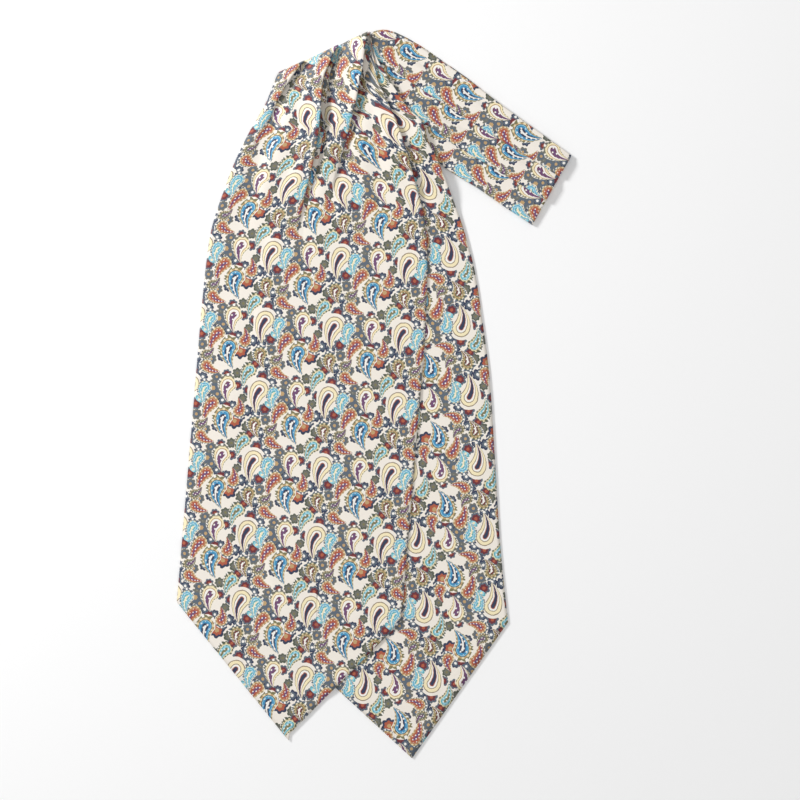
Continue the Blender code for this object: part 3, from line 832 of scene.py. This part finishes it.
def boteh_print(g, cloth, ground):
    """Botehs over the ground: a round bulb and a tapering tail that bends aside."""
    side, ahead, number = g.split(nearest_boteh(g, cloth))
    ring, across, behind, forward, length = boteh_rings(g, side, ahead, number)
    turn = g.math("ARCTAN2", across, behind)
    fancy = g.math("GREATER_THAN", number, 0.5)    # every kind but the plain cream ones

    by_kind = {kind: g.ramp(ring, stops) for kind, stops in BOTEH_RINGS.items()}
    figure = chosen(g, number, [(k, by_kind[boteh.kind]) for k, boteh in enumerate(BOTEHS)])

    dots = g.math("MULTIPLY", g.math("SINE", g.math("MULTIPLY", side, 8.5)),
                  g.math("SINE", g.math("MULTIPLY", g.math("MULTIPLY", ahead, length), 7.5)))
    dotted = g.math("MULTIPLY", g.math("GREATER_THAN", dots, 0.62), g.math("LESS_THAN", ring, 0.56))
    figure = g.mix(g.math("MULTIPLY", dotted, fancy), figure, dye("white"))

    beads = g.math("SINE", g.math("ADD", g.math("MULTIPLY", turn, 9.0),
                                  g.math("MULTIPLY", forward, 34.0)))
    border = g.math("MULTIPLY", g.math("GREATER_THAN", ring, 0.76),
                    g.math("GREATER_THAN", beads, 0.1))
    beaded = g.math("MULTIPLY", g.math("MULTIPLY", border, fancy), 0.75)
    figure = g.mix(beaded, figure, dye("cream"))

    scallops = g.math("ABSOLUTE", g.math("SINE", g.math("ADD", g.math("MULTIPLY", turn, 3.0),
                                                        g.math("MULTIPLY", forward, 11.0))))
    fringe_edge = g.math("MULTIPLY_ADD", scallops, 0.26, 1.10)
    one_side = g.math("GREATER_THAN", g.math("ADD", across, g.math("MULTIPLY", behind, -0.7)), 0.05)
    fringed = g.math("MULTIPLY", g.math("LESS_THAN", ring, fringe_edge), one_side)
    fringe = chosen(g, number, [(k, dye(FRINGES[boteh.kind])) for k, boteh in enumerate(BOTEHS)])
    fringe = g.mix(g.math("GREATER_THAN", scallops, 0.93), fringe, dye("white"))

    clear = g.math("LESS_THAN", ring, g.math("MULTIPLY_ADD", one_side, 0.24, 1.10))
    colour = g.mix(clear, ground, dye("ground"))
    colour = g.mix(g.math("MULTIPLY", fringed, fancy), colour, fringe)
    return g.mix(g.math("LESS_THAN", ring, 1.0), colour, figure)


def twill(g, shader, place, colour):
    """Silk twill: fine diagonal ribs, slightly uneven dye, soft sheen."""
    scaled = g.vector("MULTIPLY", place, (REPEAT_ACROSS, REPEAT_ALONG, 1.0))
    x, y, _ = g.split(scaled)
    diagonal = g.math("ADD", x, g.math("MULTIPLY", y, 0.8))
    ribs = g.math("SINE", g.math("MULTIPLY", diagonal, 2.0 * math.pi / RIB_SPACING))
    grain = g.noise(scaled, 1.6, 3.0).outputs[0]
    tone = g.math("ADD", g.math("MULTIPLY", ribs, 0.025),
                  g.math("MULTIPLY_ADD", grain, 0.10, 0.95))
    toned = g.tree.nodes.new("ShaderNodeVectorMath")
    toned.operation = "SCALE"
    g.put(toned.inputs[0], colour)
    g.put(toned.inputs["Scale"], tone)
    g.put(shader.inputs["Base Color"], toned.outputs[0])
    g.put(shader.inputs["Roughness"], g.math("MULTIPLY_ADD", grain, 0.12, 0.42))
    shader.inputs["Specular IOR Level"].default_value = 0.38
    shader.inputs["Sheen Weight"].default_value = 0.25
    shader.inputs["Sheen Roughness"].default_value = 0.35
    bump = g.tree.nodes.new("ShaderNodeBump")
    bump.inputs["Strength"].default_value = 0.25
    bump.inputs["Distance"].default_value = 0.00015
    g.put(bump.inputs["Height"], g.math("ADD", ribs, g.math("MULTIPLY", grain, 1.5)))
    g.put(shader.inputs["Normal"], bump.outputs[0])


def printed_silk(name):
    """Ivory silk twill with a small many-coloured paisley print and a soft sheen."""
    silk = bpy.data.materials.new(name)
    silk.use_nodes = True
    g = Nodes(silk.node_tree)
    uv = g.tree.nodes.new("ShaderNodeUVMap")
    uv.uv_map = "Cloth"
    place = uv.outputs[0]
    shake = g.vector("SUBTRACT", g.noise(place, 22.0, 1.0).outputs["Color"], (0.5, 0.5, 0.5))
    cloth = g.vector("MULTIPLY_ADD", shake, (0.016, 0.016, 0.0), place)
    colour = boteh_print(g, cloth, leaf_print(g, cloth))
    twill(g, g.tree.nodes["Principled BSDF"], place, colour)
    return silk


# ---------------------------------------------------------------- stage
def build_stage():
    """Camera straight above, white table, a small key light and two large soft ones."""
    camera_data = bpy.data.cameras.new("camera")
    camera_data.lens = CAMERA_LENS
    camera_data.sensor_width = SENSOR_WIDTH
    camera = bpy.data.objects.new("camera", camera_data)
    camera.location = (*CAMERA_PLACE, VIEW_WIDTH * CAMERA_LENS / SENSOR_WIDTH)
    bpy.context.scene.collection.objects.link(camera)
    bpy.context.scene.camera = camera

    bpy.ops.mesh.primitive_plane_add(size=TABLE_SIZE, location=(0.0, 0.0, -TABLE_DROP))
    floor = bpy.context.object
    floor.name = "table"
    paint = bpy.data.materials.new("white_table")
    paint.use_nodes = True
    shader = paint.node_tree.nodes["Principled BSDF"]
    shader.inputs["Base Color"].default_value = (0.93, 0.93, 0.93, 1.0)
    shader.inputs["Roughness"].default_value = 0.9
    floor.data.materials.append(paint)

    for name, place, size, power in LIGHTS:
        data = bpy.data.lights.new(name, "AREA")
        data.size = size
        data.energy = power
        light = bpy.data.objects.new(name, data)
        light.location = place
        light.rotation_euler = (-Vector(place)).to_track_quat("-Z", "Y").to_euler()
        bpy.context.scene.collection.objects.link(light)
    world = bpy.data.worlds.new("room")
    world.use_nodes = True
    background = world.node_tree.nodes["Background"]
    background.inputs[0].default_value = (1.0, 1.0, 1.0, 1.0)
    background.inputs[1].default_value = ROOM_LIGHT
    bpy.context.scene.world = world
    bpy.context.scene.view_settings.view_transform = "Standard"


def shifted_edge(edge, distance, end):
    """A strip's hidden upper edge: its visible edge moved up by the lap, ending at end."""
    points = np.array(edge[:-1])
    direction = unit(np.array(BAND_TOP_EDGE[0]) - np.array(BAND_LOW_EDGE[0]))
    return np.concatenate((points + distance * direction, (end,)))


silk = printed_silk("printed_silk_twill")
gathered_ends = (STRIP_FOLD_UPPER[-1], STRIP_FOLD_LOWER[-1], BAND_LOW_EDGE[-1])
strips_outline = np.array(BAND_LOW_EDGE + gathered_ends[1::-1] + BAND_TOP_EDGE[::-1])
rear, rear_plan = build_rear(strips_outline)
rear_outline = np.concatenate((rear_plan[:, 0], rear_plan[-1, 1:-1],
                               rear_plan[::-1, -1], rear_plan[0, -2:0:-1]))[::3]
front = build_front(rear_outline, strips_outline)
under = build_under()
top_strip = build_strip("band_top_strip_silk", STRIP_FOLD_UPPER, BAND_TOP_EDGE, True, 0.0)
middle_strip = build_strip("band_middle_strip_silk", STRIP_FOLD_LOWER,
                           shifted_edge(STRIP_FOLD_UPPER, BAND_LAP, MIDDLE_TUCK_END), True, 0.33)
lower_strip = build_strip("band_lower_strip_silk", BAND_LOW_EDGE,
                          shifted_edge(STRIP_FOLD_LOWER, BAND_LAP, LOWER_TUCK_END), False, 0.66)

made = ((front, "front_blade", "front_silk"), (rear, "rear_blade", "rear_silk"),
        (under, "band_under", "band_silk"), (top_strip, "band_top_strip", "band_silk"),
        (middle_strip, "band_middle_strip", "band_silk"),
        (lower_strip, "band_lower_strip", "band_silk"))
for piece, node, slot in made:
    piece.data.materials.append(silk)
    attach(piece, "root")
    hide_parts(node)

build_stage()
